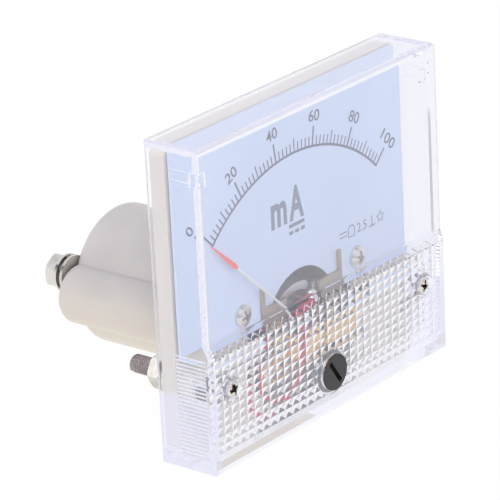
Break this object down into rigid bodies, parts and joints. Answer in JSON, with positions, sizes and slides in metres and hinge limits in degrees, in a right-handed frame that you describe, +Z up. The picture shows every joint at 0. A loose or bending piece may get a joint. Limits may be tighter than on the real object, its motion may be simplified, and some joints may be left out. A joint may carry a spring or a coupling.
{
  "type": "analog panel meter",
  "caption": "Square-faced moving-coil panel meter with a clear prismatic front cover, pale dial, red-tipped pointer, zero adjuster and a rear barrel with screw terminals.",
  "frame": {"origin": "where the pointer's axis meets the panel plane, midway between the two mounting studs", "axes": "+X to the right seen from the front, +Y back through the panel along the studs, +Z up"},
  "size_m": [0.064, 0.0521, 0.056],
  "materials": {
    "clear_plastic": "clear moulded polystyrene, polished",
    "case_plastic": "cream moulded phenolic, satin",
    "black_plastic": "moulded, fine satin",
    "dial_paint": "matt pale blue enamel with grey-blue ink",
    "nickel_steel": "bright nickel plate",
    "zinc_steel": "zinc plate",
    "spring_steel": "oil blacked",
    "magnet": "ground alloy",
    "yoke_steel": "zinc plate",
    "aluminium": "bright",
    "brass": "turned",
    "copper_wire": "enamelled copper",
    "bronze_spring": "phosphor bronze",
    "pointer_paint": "red enamel on the tip, bare tube",
    "red_insulation": "PVC",
    "black_insulation": "PVC",
    "shunt_body": "cement coat"
  },
  "bodies": {
    "case": {"front_cover": "clear_plastic", "cover_screws": "nickel_steel", "base_case": "case_plastic", "dial_plate": "dial_paint", "dial_screws": "nickel_steel", "movement_plate": "zinc_steel", "movement_screws": "nickel_steel", "yoke_ring": "yoke_steel", "yoke_clip": "nickel_steel", "core_magnet": "magnet", "core_spacers": "aluminium", "front_bridge": "zinc_steel", "bridge_screws": "nickel_steel", "front_jewel_screw": "brass", "front_jewel_nut": "brass", "rear_bridge": "zinc_steel", "rear_jewel_screw": "brass", "rear_jewel_nut": "brass", "terminal_studs": "zinc_steel", "terminal_washers": "brass", "terminal_spring_washers": "spring_steel", "terminal_nuts": "nickel_steel", "terminal_lugs": "brass", "mounting_studs": "zinc_steel", "mounting_washers": "nickel_steel", "mounting_spring_washers": "spring_steel", "mounting_nuts": "nickel_steel", "red_lead": "red_insulation", "black_lead": "black_insulation", "shunt_resistor": "shunt_body"},
    "coil": {"coil_former": "aluminium", "coil_winding": "copper_wire", "front_pivot": "nickel_steel", "rear_pivot": "nickel_steel", "pointer": "pointer_paint", "balance_weights": "brass", "front_hairspring": "bronze_spring", "rear_hairspring": "bronze_spring"},
    "adjuster": {"zero_adjuster": "black_plastic"},
    "lever": {"zero_lever": "nickel_steel"}
  },
  "joints": [
    {"name": "pointer_turn", "type": "hinge", "parent": "case", "child": "coil", "pos_m": [0, 0, 0], "axis": [0, 1, 0], "range_deg": [0, 92], "stiffness_Nm_per_rad": 0.00002, "springref_deg": -1.15, "deforming": ["front_hairspring", "rear_hairspring"]},
    {"name": "adjuster_turn", "type": "hinge", "parent": "case", "child": "adjuster", "pos_m": [0, 0, -0.0065], "axis": [0, 1, 0], "range_deg": [-90, 90]},
    {"name": "lever_turn", "type": "hinge", "parent": "case", "child": "lever", "pos_m": [0, 0, 0], "axis": [0, 1, 0], "range_deg": [-9, 9]}
  ],
  "couplings": [
    {"joint": "lever_turn", "follows": "adjuster_turn", "ratio": 0.0972}
  ]
}
